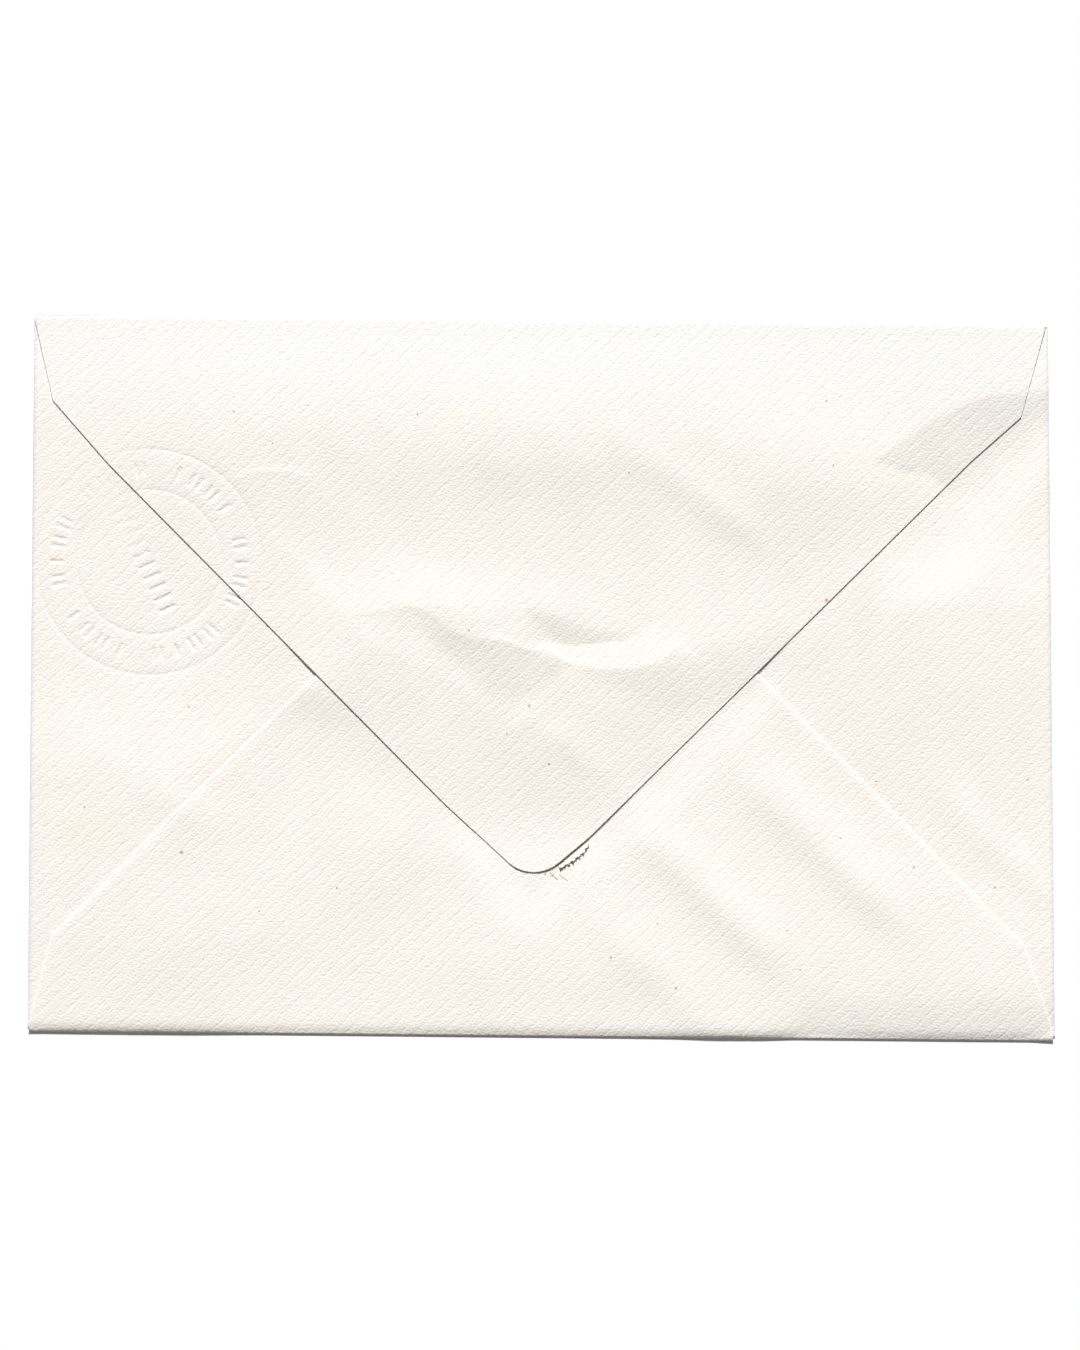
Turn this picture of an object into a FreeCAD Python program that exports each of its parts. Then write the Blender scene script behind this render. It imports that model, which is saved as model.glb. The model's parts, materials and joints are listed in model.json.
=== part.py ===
import FreeCAD, Part
import math
import os

import Sketcher

# A paper envelope folded from one sheet. It lies on its address side with the flaps up.
# X runs along the long side, Y towards the closing flap's fold, and Z up.
# The origin is on the table, in the middle of the footprint.

SIZES = {
    # the folded envelope, which was cut a little wider at its foot than at its head
    "width_at_foot": 163.3,
    "width_at_head": 161.1,
    "height": 114.0,
    # the sheet, and the air that its spring keeps between the layers
    "paper": 0.16,
    "pocket_gap": 0.8,
    "flap_gap": 0.18,
    # side flaps: how far their folds stop short of each corner, and their points
    "corner_gap": 0.75,
    "side_flap_depth": 56.0,
    "side_tip_radius": 12.0,
    # bottom flap: where it leaves its fold, its shoulders and its hidden point
    "bottom_left_root_inset": 0.6,
    "bottom_right_root_inset": 1.0,
    "bottom_left_shoulder": 3.8,
    "bottom_left_rise": 15.4,
    "bottom_right_shoulder": 4.7,
    "bottom_right_rise": 15.1,
    "bottom_shoulder_radius": 1.8,
    "bottom_depth": 92.6,
    "bottom_tip_shift": -1.0,
    "bottom_tip_radius": 30.0,
    # closing flap: the same, with the small round tip that lies in sight
    "closing_left_root_inset": 0.1,
    "closing_right_root_inset": 0.5,
    "closing_left_shoulder": 3.1,
    "closing_left_drop": 13.7,
    "closing_right_shoulder": 4.5,
    "closing_right_drop": 15.0,
    "closing_shoulder_radius": 0.8,
    "closing_depth": 89.9,
    "closing_tip_shift": -0.54,
    "closing_tip_radius": 6.0,
    # its long edges aren't quite straight: they swell near the tip and bend near the shoulders
    "closing_left_swell": 0.87,
    "closing_left_swell_from_tip": 18.7,
    "closing_right_swell": 0.83,
    "closing_right_swell_from_tip": 11.9,
    "closing_left_shoulder_swell": 0.83,
    "closing_left_swell_from_shoulder": 13.4,
    "closing_right_hollow": 0.41,
    "closing_right_hollow_from_shoulder": 10.4,
    "closing_bend_radius": 30.0,
    # blind seal, pressed through the closing flap and the left side flap
    "seal_margin": 0.75,
    "seal_up": 17.7,
    "seal_radius": 17.9,
    "seal_inner_radius": 11.5,
    "seal_line": 0.35,
    "seal_depth": 0.08,
    "seal_marks": 30,
    "mark_length": 2.3,
    "mark_width": 0.8,
    # the short row of rungs across the seal's middle
    "rungs": 8,
    "rung_spacing": 2.4,
    "rung_length": 3.0,
    "rung_width": 0.8,
    "rung_turn": -66.0,
    "rung_row_right": -3.3,
    "rung_row_up": 8.7,
    # crease across the closing flap: each bend, right of the flap's point and up from it
    "crease_width": 0.7,
    "crease_rise": 0.12,
    "crease_start_right": -28.5,
    "crease_start_up": 42.7,
    "crease_crest_right": -19.5,
    "crease_crest_up": 44.2,
    "crease_foot_right": -10.5,
    "crease_foot_up": 39.0,
    "crease_step_right": 0.2,
    "crease_step_up": 37.1,
    "crease_tail_right": 6.5,
    "crease_tail_up": 35.0,
    "crease_end_right": 20.1,
    "crease_end_up": 35.3,
    # paper fibres that hold the closing flap's edge to the bottom flap beside the tip
    "tear_start": 5.2,
    "tear_length": 5.9,
    "tear_width": 1.1,
    "tear_notch": 0.4,
    "tear_overlap": 0.3,
}

# heights above the table
SIDE_UNDERSIDE = "(sizes.paper + sizes.pocket_gap)"
SIDE_TOP = f"({SIDE_UNDERSIDE} + sizes.paper)"
BOTTOM_TOP = f"({SIDE_TOP} + sizes.paper)"
CLOSING_UNDERSIDE = f"({BOTTOM_TOP} + sizes.flap_gap)"
CLOSING_TOP = f"({CLOSING_UNDERSIDE} + sizes.paper)"

# each fold is a half tube, whose outer radius is half the height that it climbs
SIDE_FOLD_RADIUS = f"({SIDE_TOP} / 2)"
BOTTOM_FOLD_RADIUS = f"({BOTTOM_TOP} / 2)"
CLOSING_FOLD_RADIUS = f"({CLOSING_TOP} / 2)"

# the outline that the folds reach
HEAD = "(sizes.height / 2)"
FOOT = "(-sizes.height / 2)"
LEFT = "(-sizes.width_at_foot / 2)"
LEAN = "atan((sizes.width_at_foot - sizes.width_at_head) / sizes.height)"
HEAD_MIDDLE = "((sizes.width_at_head - sizes.width_at_foot) / 2)"

# the lines that the folds turn about
LEFT_AXIS = f"({LEFT} + {SIDE_FOLD_RADIUS})"
RIGHT_AXIS = f"(sizes.width_at_head / 2 - {SIDE_FOLD_RADIUS} / cos({LEAN}))"
FOOT_AXIS = f"({FOOT} + {BOTTOM_FOLD_RADIUS})"
HEAD_AXIS = f"({HEAD} - {CLOSING_FOLD_RADIUS})"

SEAL_RIGHT = f"({LEFT} + sizes.seal_margin + sizes.seal_radius)"
CREASE_BENDS = ("start", "crest", "foot", "step", "tail", "end")


def right_edge(up):
    """The right outline's place at a height on the page: it leans out towards the foot."""
    return f"(sizes.width_at_head / 2 - tan({LEAN}) * ({up}))"


def right_axis(up):
    """The right fold's axis at a height on the page."""
    return f"({RIGHT_AXIS} - tan({LEAN}) * ({up}))"


def make_sheet(doc):
    """The driving dimensions, one to a row."""
    sheet = doc.addObject("Spreadsheet::Sheet", "sizes")
    for row, (name, value) in enumerate(SIZES.items(), start=1):
        sheet.set(f"A{row}", name)
        sheet.set(f"B{row}", str(value))
        sheet.setAlias(f"B{row}", name)
    doc.recompute()
    return sheet


def value_of(expression):
    """What an expression of the sheet's sizes comes to now."""
    sheet = FreeCAD.ActiveDocument.getObject("sizes")
    result = sheet.evalExpression(expression)
    return float(getattr(result, "Value", result))


def vector_of(point):
    return FreeCAD.Vector(value_of(point[0]), value_of(point[1]), 0)


def new_sketch(body, name, level, right="0", up="0", turn="0"):
    """A level sketch: its height, and where its own middle and turn are on the page."""
    plane = next(item for item in body.Origin.OriginFeatures if item.Role == "XY_Plane")
    sketch = body.newObject("Sketcher::SketchObject", name)
    sketch.AttachmentSupport = [(plane, "")]
    sketch.MapMode = "FlatFace"
    sketch.setExpression(".AttachmentOffset.Base.x", right)
    sketch.setExpression(".AttachmentOffset.Base.y", up)
    sketch.setExpression(".AttachmentOffset.Base.z", level)
    sketch.setExpression(".AttachmentOffset.Rotation.Angle", turn)
    return sketch


def bind(sketch, constraint, name, expression):
    """Add a dimension to a sketch and tie it to the sheet."""
    index = sketch.addConstraint(constraint)
    sketch.renameConstraint(index, name)
    sketch.setExpression(f"Constraints.{name}", expression)


def pin_point(sketch, geometry, end, name, point):
    """Hold a point of a sketch at its place right of and up from the sketch's middle."""
    x, y = vector_of(point)[:2]
    bind(sketch, Sketcher.Constraint("DistanceX", -1, 1, geometry, end, x), f"{name}_right", point[0])
    bind(sketch, Sketcher.Constraint("DistanceY", -1, 1, geometry, end, y), f"{name}_up", point[1])


def trimmed(corner, towards, radius, other):
    """Where a line from a rounded corner starts: the rounding's end on that side."""
    along = (towards - corner).normalize()
    half_angle = along.getAngle((other - corner).normalize()) / 2
    return corner + along * (radius / math.tan(half_angle))


def draw_outline(sketch, corners):
    """A closed outline, anticlockwise. A corner is (right, up) or (right, up, radius)."""
    places = [vector_of(corner) for corner in corners]
    radii = [value_of(corner[2]) if len(corner) == 3 else 0 for corner in corners]
    count = len(corners)
    starts = []
    ends = []
    for index in range(count):
        before = places[index - 1]
        here = places[index]
        after = places[(index + 1) % count]
        starts.append(trimmed(here, after, radii[index], before))
        ends.append(trimmed(here, before, radii[index], after))
    for index in range(count):
        sketch.addGeometry(Part.LineSegment(starts[index], ends[(index + 1) % count]))
    for index, corner in enumerate(corners):
        line_in = (index - 1) % count
        if radii[index]:
            round_corner(sketch, corner, index, line_in, (ends[index], starts[index]), places[index])
        else:
            sketch.addConstraint(Sketcher.Constraint("Coincident", line_in, 2, index, 1))
            pin_point(sketch, index, 1, f"corner_{index}", corner)


def round_corner(sketch, corner, line_out, line_in, tangent_points, place):
    """An arc between two lines, whose straight runs would meet at the corner."""
    radius = value_of(corner[2])
    start, end = tangent_points
    to_centre = ((start + end) * 0.5 - place).normalize()
    half_chord = (end - start).Length / 2
    centre = (start + end) * 0.5 + to_centre * math.sqrt(radius ** 2 - half_chord ** 2)
    circle = Part.Circle(centre, FreeCAD.Vector(0, 0, 1), radius)
    arc = Part.ArcOfCircle(circle, circle.parameter(start), circle.parameter(end))
    arc_index = sketch.addGeometry(arc)
    point_index = sketch.addGeometry(Part.Point(place), True)
    sketch.addConstraint(Sketcher.Constraint("Tangent", line_in, 2, arc_index, 1))
    sketch.addConstraint(Sketcher.Constraint("Tangent", arc_index, 2, line_out, 1))
    sketch.addConstraint(Sketcher.Constraint("PointOnObject", point_index, 1, line_in))
    sketch.addConstraint(Sketcher.Constraint("PointOnObject", point_index, 1, line_out))
    radius_held = Sketcher.Constraint("Radius", arc_index, radius)
    bind(sketch, radius_held, f"corner_{line_out}_radius", corner[2])
    pin_point(sketch, point_index, 1, f"corner_{line_out}", corner)


def draw_ring(sketch, name, radius, line):
    """Two circles round the sketch's middle, half a line's width either side of a radius."""
    for side, sign in (("inner", "-"), ("outer", "+")):
        size = f"({radius} {sign} {line} / 2)"
        circle = Part.Circle(FreeCAD.Vector(), FreeCAD.Vector(0, 0, 1), value_of(size))
        index = sketch.addGeometry(circle)
        sketch.addConstraint(Sketcher.Constraint("Coincident", index, 3, -1, 1))
        bind(sketch, Sketcher.Constraint("Radius", index, value_of(size)), f"{name}_{side}", size)


def add_pad(body, name, sketch, thickness):
    pad = body.newObject("PartDesign::Pad", name)
    pad.Profile = sketch
    pad.setExpression("Length", thickness)


def add_pocket(body, name, sketch, depth):
    pocket = body.newObject("PartDesign::Pocket", name)
    pocket.Profile = sketch
    pocket.setExpression("Length", depth)
    return pocket


def add_fold(body, name, right, up, turn, ends, top):
    """Half a tube about a fold's axis, from the table up to the flap's upper face."""
    radius = f"({top} / 2)"
    hollow = f"({radius} - sizes.paper)"
    start, end = ends
    sketch = new_sketch(body, f"{name}_strip", radius, right, up, turn)
    draw_outline(sketch, [(hollow, start), (radius, start), (radius, end), (hollow, end)])
    fold = body.newObject("PartDesign::Revolution", name)
    fold.Profile = sketch
    fold.ReferenceAxis = (sketch, ["V_Axis"])
    fold.Angle = 180
    fold.Midplane = True


def add_address_panel(body):
    """The side that lies on the table, between the four fold axes."""
    corners = [
        (LEFT_AXIS, FOOT_AXIS),
        (right_axis(FOOT_AXIS), FOOT_AXIS),
        (right_axis(HEAD_AXIS), HEAD_AXIS),
        (LEFT_AXIS, HEAD_AXIS),
    ]
    sketch = new_sketch(body, "address_panel_outline", "0")
    draw_outline(sketch, corners)
    add_pad(body, "address_panel", sketch, "sizes.paper")


def add_side_flap(body, side, axis, turn):
    """A fold along one short side, and its pointed flap folded in over the panel."""
    reach = f"({HEAD} - sizes.corner_gap)"
    add_fold(body, f"{side}_fold", axis, "0", turn, (f"-{reach}", reach), SIDE_TOP)
    tip = ("-sizes.side_flap_depth", "0", "sizes.side_tip_radius")
    sketch = new_sketch(body, f"{side}_flap_outline", SIDE_UNDERSIDE, axis, "0", turn)
    draw_outline(sketch, [("0", f"-{reach}"), ("0", reach), tip])
    add_pad(body, f"{side}_flap", sketch, "sizes.paper")


def add_bottom_flap(body):
    """The foot's fold, and its flap glued over the edges of both side flaps."""
    root_left = f"({LEFT} + sizes.bottom_left_root_inset)"
    root_right = f"({right_edge(FOOT_AXIS)} - sizes.bottom_right_root_inset)"
    add_fold(body, "bottom_fold", "0", FOOT_AXIS, "-90", (root_left, root_right), BOTTOM_TOP)
    left_up = f"({FOOT} + sizes.bottom_left_rise)"
    right_up = f"({FOOT} + sizes.bottom_right_rise)"
    corners = [
        (root_left, FOOT_AXIS),
        (root_right, FOOT_AXIS),
        (f"({right_edge(right_up)} - sizes.bottom_right_shoulder)", right_up, "sizes.bottom_shoulder_radius"),
        ("sizes.bottom_tip_shift", f"({FOOT} + sizes.bottom_depth)", "sizes.bottom_tip_radius"),
        (f"({LEFT} + sizes.bottom_left_shoulder)", left_up, "sizes.bottom_shoulder_radius"),
    ]
    sketch = new_sketch(body, "bottom_flap_outline", SIDE_TOP)
    draw_outline(sketch, corners)
    add_pad(body, "bottom_flap", sketch, "sizes.paper")


def closing_tip():
    """Where the closing flap's edges would meet if its tip weren't round."""
    return f"({HEAD_MIDDLE} + sizes.closing_tip_shift)", f"({HEAD} - sizes.closing_depth)"


def closing_left_shoulder():
    """Where the closing flap's left edge turns up towards the fold."""
    return f"({LEFT} + sizes.closing_left_shoulder)", f"({HEAD} - sizes.closing_left_drop)"


def closing_right_shoulder():
    """Where the closing flap's right edge turns up towards the fold."""
    up = f"({HEAD} - sizes.closing_right_drop)"
    return f"({right_edge(up)} - sizes.closing_right_shoulder)", up


def direction(start, end):
    """The turn from the page's right to the line from one point to another."""
    return f"atan2({end[1]} - {start[1]}; {end[0]} - {start[0]})"


def beside_line(start, end, along, aside):
    """A point some way along the line from start to end, and then aside to its right."""
    turn = direction(start, end)
    right = f"({start[0]} + {along} * cos({turn}) + {aside} * sin({turn}))"
    up = f"({start[1]} + {along} * sin({turn}) - {aside} * cos({turn}))"
    return right, up


def add_closing_flap(body):
    """The head's fold, and the flap that comes down over all the others."""
    root_left = f"({LEFT} + sizes.closing_left_root_inset)"
    root_right = f"({right_edge(HEAD_AXIS)} - sizes.closing_right_root_inset)"
    ends = (f"-{root_right}", f"-{root_left}")
    add_fold(body, "closing_fold", "0", HEAD_AXIS, "90", ends, CLOSING_TOP)
    left = closing_left_shoulder()
    right = closing_right_shoulder()
    tip = closing_tip()
    left_bend = ("sizes.closing_left_swell_from_shoulder", "sizes.closing_left_shoulder_swell")
    left_swell = ("sizes.closing_left_swell_from_tip", "-sizes.closing_left_swell")
    right_swell = ("sizes.closing_right_swell_from_tip", "sizes.closing_right_swell")
    right_bend = ("sizes.closing_right_hollow_from_shoulder", "sizes.closing_right_hollow")
    corners = [
        (root_right, HEAD_AXIS),
        (root_left, HEAD_AXIS),
        (*left, "sizes.closing_shoulder_radius"),
        (*beside_line(left, tip, *left_bend), "sizes.closing_bend_radius"),
        (*beside_line(tip, left, *left_swell), "sizes.closing_bend_radius"),
        (*tip, "sizes.closing_tip_radius"),
        (*beside_line(tip, right, *right_swell), "sizes.closing_bend_radius"),
        beside_line(right, tip, *right_bend),
        (*right, "sizes.closing_shoulder_radius"),
    ]
    sketch = new_sketch(body, "closing_flap_outline", CLOSING_UNDERSIDE)
    draw_outline(sketch, corners)
    add_pad(body, "closing_flap", sketch, "sizes.paper")


def add_seal(body, layer, level):
    """The seal's two rings, and the ring of plain marks between them, pressed into one layer."""
    rings = new_sketch(body, f"{layer}_seal_rings_outline", level, SEAL_RIGHT, "sizes.seal_up")
    draw_ring(rings, "outer_ring", "sizes.seal_radius", "sizes.seal_line")
    draw_ring(rings, "inner_ring", "sizes.seal_inner_radius", "sizes.seal_line")
    add_pocket(body, f"{layer}_seal_rings", rings, "sizes.seal_depth")
    between = "(sizes.seal_radius + sizes.seal_inner_radius) / 2"
    near = f"({between} - sizes.mark_length / 2)"
    far = f"({between} + sizes.mark_length / 2)"
    half = "(sizes.mark_width / 2)"
    corners = [(near, f"-{half}"), (far, f"-{half}"), (far, half), (near, half)]
    mark = new_sketch(body, f"{layer}_seal_mark_outline", level, SEAL_RIGHT, "sizes.seal_up")
    draw_outline(mark, corners)
    pocket = add_pocket(body, f"{layer}_seal_mark", mark, "sizes.seal_depth")
    pattern = body.newObject("PartDesign::PolarPattern", f"{layer}_seal_marks")
    pattern.Originals = [pocket]
    pattern.Axis = (mark, ["N_Axis"])
    pattern.Angle = 360
    pattern.setExpression("Occurrences", "sizes.seal_marks")
    body.Tip = pattern


def add_rungs(body):
    """The seal's middle row, which lies on the left side flap alone."""
    right = f"({SEAL_RIGHT} + sizes.rung_row_right)"
    up = "(sizes.seal_up + sizes.rung_row_up)"
    half_width = "(sizes.rung_width / 2)"
    half_length = "(sizes.rung_length / 2)"
    corners = [
        (f"-{half_width}", f"-{half_length}"),
        (half_width, f"-{half_length}"),
        (half_width, half_length),
        (f"-{half_width}", half_length),
    ]
    sketch = new_sketch(body, "seal_rung_outline", SIDE_TOP, right, up, "sizes.rung_turn")
    draw_outline(sketch, corners)
    pocket = add_pocket(body, "seal_rung", sketch, "sizes.seal_depth")
    pattern = body.newObject("PartDesign::LinearPattern", "seal_rungs")
    pattern.Originals = [pocket]
    pattern.Direction = (sketch, ["H_Axis"])
    pattern.setExpression("Length", "(sizes.rungs - 1) * sizes.rung_spacing")
    pattern.setExpression("Occurrences", "sizes.rungs")
    body.Tip = pattern


def add_crease(body):
    """A low ridge, as wide as a pressed fold line, along the bends of the crease."""
    bends = [(f"sizes.crease_{bend}_right", f"sizes.crease_{bend}_up") for bend in CREASE_BENDS]
    lower = [bends[0]] + [(right, f"({up} - sizes.crease_width / 2)") for right, up in bends[1:-1]]
    upper = [bends[-1]] + [(right, f"({up} + sizes.crease_width / 2)") for right, up in bends[-2:0:-1]]
    sketch = new_sketch(body, "crease_outline", CLOSING_TOP, *closing_tip())
    draw_outline(sketch, lower + upper)
    add_pad(body, "crease", sketch, "sizes.crease_rise")


def add_torn_fibres(body):
    """A ragged strip along the closing flap's edge right of its tip, stuck down on the bottom flap."""
    right, up = closing_tip()
    start = "sizes.tear_start"
    end = "(sizes.tear_start + sizes.tear_length)"
    middle = "(sizes.tear_start + sizes.tear_length / 2)"
    far = "-sizes.tear_width"
    notch = "(sizes.tear_notch - sizes.tear_width)"
    corners = [
        (start, "sizes.tear_overlap"),
        (start, notch),
        (f"({start} + sizes.tear_width)", far),
        (middle, notch),
        (f"({middle} + sizes.tear_width)", far),
        (end, "-sizes.tear_notch"),
        (end, "sizes.tear_overlap"),
    ]
    swell_turn = "atan(sizes.closing_right_swell / sizes.closing_right_swell_from_tip)"
    edge_turn = f"({direction(closing_tip(), closing_right_shoulder())} - {swell_turn})"
    sketch = new_sketch(body, "torn_fibres_outline", BOTTOM_TOP, right, up, edge_turn)
    draw_outline(sketch, corners)
    add_pad(body, "torn_fibres", sketch, f"({CLOSING_TOP} - {BOTTOM_TOP} - sizes.paper / 2)")


def add_envelope(doc):
    """The whole folded sheet, one piece of paper."""
    body = doc.addObject("PartDesign::Body", "envelope")
    body.Label = "envelope"
    add_address_panel(body)
    add_side_flap(body, "left", LEFT_AXIS, "180")
    add_side_flap(body, "right", RIGHT_AXIS, LEAN)
    add_seal(body, "side", SIDE_TOP)
    add_rungs(body)
    add_bottom_flap(body)
    add_closing_flap(body)
    add_seal(body, "closing", CLOSING_TOP)
    add_crease(body)
    add_torn_fibres(body)
    body.Placement = FreeCAD.Placement()
    return body


def check(doc, parts):
    """Stop before anything is written if a step failed or a solid isn't sound."""
    for item in doc.Objects:
        if "Invalid" in item.State or "Error" in item.State:
            raise RuntimeError(f"{item.Name} failed: {item.State}")
    for part in parts:
        shape = part.Shape
        if shape.isNull() or not shape.isValid():
            raise RuntimeError(f"{part.Label} has no sound shape")
        print(part.Label, len(shape.Solids), "solid,", round(shape.Volume, 2), "cubic mm,", shape.BoundBox)


def write_parts(parts):
    os.makedirs("parts", exist_ok=True)
    for part in parts:
        part.Shape.exportStep(f"parts/{part.Label}.step")


document = FreeCAD.newDocument("envelope")
make_sheet(document)
pieces = [add_envelope(document)]
document.recompute()
check(document, pieces)
write_parts(pieces)
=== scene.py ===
# %% [markdown]
# # A closed letter envelope
# One sheet of ribbed writing paper, folded and glued into an envelope. It lies on its address side,
# so what shows is the two side flaps, the bottom flap over them and the closing flap over all. The
# sheet is modelled as one surface that runs from layer to layer through its folds. Then it gets the
# paper's thickness and its finish.

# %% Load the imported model
import json
import math

import bmesh
import bpy
import numpy as np
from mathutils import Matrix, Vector
from mathutils.geometry import delaunay_2d_cdt
from mathutils.kdtree import KDTree

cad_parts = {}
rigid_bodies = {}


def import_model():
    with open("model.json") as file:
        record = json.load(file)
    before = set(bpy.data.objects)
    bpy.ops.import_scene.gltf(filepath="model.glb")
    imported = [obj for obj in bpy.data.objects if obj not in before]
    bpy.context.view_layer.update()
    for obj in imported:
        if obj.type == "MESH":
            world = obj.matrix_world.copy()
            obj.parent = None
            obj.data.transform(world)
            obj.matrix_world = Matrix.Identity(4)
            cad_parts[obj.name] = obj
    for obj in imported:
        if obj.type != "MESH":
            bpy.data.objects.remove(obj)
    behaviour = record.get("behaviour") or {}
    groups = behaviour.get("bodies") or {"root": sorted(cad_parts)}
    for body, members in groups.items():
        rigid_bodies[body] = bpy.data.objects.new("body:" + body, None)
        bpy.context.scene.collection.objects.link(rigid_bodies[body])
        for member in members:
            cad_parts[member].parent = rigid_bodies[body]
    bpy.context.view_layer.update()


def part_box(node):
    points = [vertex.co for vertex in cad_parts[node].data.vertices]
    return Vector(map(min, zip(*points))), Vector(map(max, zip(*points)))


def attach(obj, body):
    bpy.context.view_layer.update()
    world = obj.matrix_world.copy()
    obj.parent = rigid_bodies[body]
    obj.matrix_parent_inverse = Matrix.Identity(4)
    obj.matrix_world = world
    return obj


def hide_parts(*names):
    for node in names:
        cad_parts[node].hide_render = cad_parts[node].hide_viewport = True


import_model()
MM = 0.001
box_low, box_high = (Vector(corner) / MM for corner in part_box("envelope"))
print("envelope, mm:", [round(size, 2) for size in box_high - box_low])

# %% [markdown]
# ## The page and its layers
# All lengths are in millimetres. The page is seen from above: x runs right, y up to the closing flap's
# fold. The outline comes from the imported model, and the layers lie at the same heights as there. Each
# layer is modelled at the middle of its thickness, because a thickness is easy to add at the end.

# %% Page outline and layer heights
LEFT, FOOT, HEAD = box_low.x, box_low.y, box_high.y
HEAD_NARROWER = 2.2
HEIGHT = HEAD - FOOT
PAPER = 0.16
POCKET_GAP = 0.8
FLAP_GAP = 0.18
PANEL_MIDDLE = PAPER / 2
SIDE_MIDDLE = PANEL_MIDDLE + POCKET_GAP + PAPER
BOTTOM_MIDDLE = SIDE_MIDDLE + PAPER
CLOSING_MIDDLE = BOTTOM_MIDDLE + PAPER + FLAP_GAP
LEAN = math.atan(HEAD_NARROWER / HEIGHT)


def right_outline(y):
    """The right side leans out towards the foot."""
    return -LEFT - HEAD_NARROWER / 2 - math.tan(LEAN) * y


print("layers at", [round(z, 2) for z in (PANEL_MIDDLE, SIDE_MIDDLE, BOTTOM_MIDDLE, CLOSING_MIDDLE)])

# %% [markdown]
# ## Relief: how paper is never quite flat
# A letter that has been handled carries long soft waves, a few sharp creases and whatever was pressed
# into it. These could be sculpted by hand or drawn in a picture and used as displacement. Here each one
# is a small formula placed on the page, so that it stays sharp where it should and can be moved later.

# %% Soft ridges, mounds and sharp creases
RIDGE_FADE = 0.35
CREASE_FADE = 0.15


def smooth_step(low, high, value):
    """None below the low value and one above the high one, with a soft rise between."""
    t = np.clip((value - low) / (high - low), 0.0, 1.0)
    return t * t * (3 - 2 * t)


def smooth_fall(high, low, value):
    """None above the high value and one below the low one."""
    return smooth_step(-high, -low, -value)


def fading_ends(share, fade):
    """One along the middle of a line, fading to none at both its ends."""
    return smooth_step(0.0, fade, share) * smooth_step(0.0, fade, 1 - share)


def ridge(x, y, start, end, above, below, rise):
    """A soft ridge between two points, with its own width on each side. A minus rise makes a furrow."""
    dx, dy = end[0] - start[0], end[1] - start[1]
    length = math.hypot(dx, dy)
    along = ((x - start[0]) * dx + (y - start[1]) * dy) / length ** 2
    across = ((y - start[1]) * dx - (x - start[0]) * dy) / length
    side = np.where(across > 0, above, below)
    return rise * fading_ends(along, RIDGE_FADE) * np.exp(-(across / side) ** 2)


def mound(x, y, centre, reach, turn, rise):
    """A soft oval swelling, turned by some degrees from the page's x."""
    c, s = math.cos(math.radians(turn)), math.sin(math.radians(turn))
    u = ((x - centre[0]) * c + (y - centre[1]) * s) / reach[0]
    v = ((y - centre[1]) * c - (x - centre[0]) * s) / reach[1]
    return rise * np.exp(-(u * u + v * v))


def bank(x, y, upper, lower, tilt, soft):
    """Paper that slopes down from an upper line to a lower one, and stays down below it."""
    top = np.interp(x, *zip(*upper))
    bottom = np.minimum(np.interp(x, *zip(*lower)), top)
    fall = soft * (np.logaddexp(0, (top - y) / soft) - np.logaddexp(0, (bottom - y) / soft))
    return -tilt * fall


def nearest_on_line(x, y, bends):
    """Distance to a bent line, signed plus on its upper side, and how far along it that is."""
    best = np.full(np.shape(x), 1e9)
    place = np.zeros(np.shape(x))
    walked = 0.0
    total = sum(math.dist(a, b) for a, b in zip(bends, bends[1:]))
    for (ax, ay), (bx, by) in zip(bends, bends[1:]):
        dx, dy = bx - ax, by - ay
        length = math.hypot(dx, dy)
        t = np.clip(((x - ax) * dx + (y - ay) * dy) / length ** 2, 0.0, 1.0)
        gap = np.hypot(x - ax - t * dx, y - ay - t * dy)
        upper = ((y - ay) * dx - (x - ax) * dy) >= 0
        closer = gap < np.abs(best)
        best = np.where(closer, np.where(upper, gap, -gap), best)
        place = np.where(closer, (walked + t * length) / total, place)
        walked += length
    return best, place


def crease(x, y, bends, above, below, rise, soft=0.0):
    """A fold line. The paper falls away from it within a given reach above and below."""
    gap, place = nearest_on_line(x, y, bends)
    reach = np.where(gap >= 0, above, below)
    away = np.sqrt(gap * gap + soft * soft) - soft
    return rise * fading_ends(place, CREASE_FADE) * np.exp(-away / reach)


print("helpers: smooth_step, ridge, mound, bank and crease")

# %% [markdown]
# ## The blind seal
# A hand press has pushed a round seal into the paper without ink: two fine rings, a ring of short plain
# marks between them and a row of rungs across the middle. Each is a groove, so its upper wall is in shade
# and its lower wall catches the light. The press bends the paper softly for a millimetre to each side.
# Most marks come in pairs, every third one is single, and every fifth place is empty.

# %% Rings, marks and rungs
SEAL_RADIUS = 17.9
SEAL_INNER_RADIUS = 11.5
SEAL_MARGIN = 0.75
SEAL_UP = 17.7
SEAL_CENTRE = (LEFT + SEAL_MARGIN + SEAL_RADIUS, SEAL_UP)
MARKS = 30
MARKS_TO_SINGLE = 3
MARKS_TO_SPACE = 5
SPACE = 2
MARK_RADIUS = (SEAL_RADIUS + SEAL_INNER_RADIUS) / 2
MARK_HALF = (1.05, 0.24)
MARK_PAIR = 0.62
RUNGS = 10
RUNG_SPACING = 1.9
RUNG_HALF = (0.26, 1.4)
RUNG_START = (-67.5, 25.7)
RUNG_TURN = math.radians(-64)
WALL = 0.15
MARK_DEPTH = 0.095
RING_DEPTH = 0.035
RING_REACH = 0.9
RING_GROOVE = 0.026
RING_GROOVE_WIDTH = 0.20
FAINT_ANGLE = math.radians(125)
FAINT_REACH = 0.12
FAINTNESS = 0.75


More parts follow.
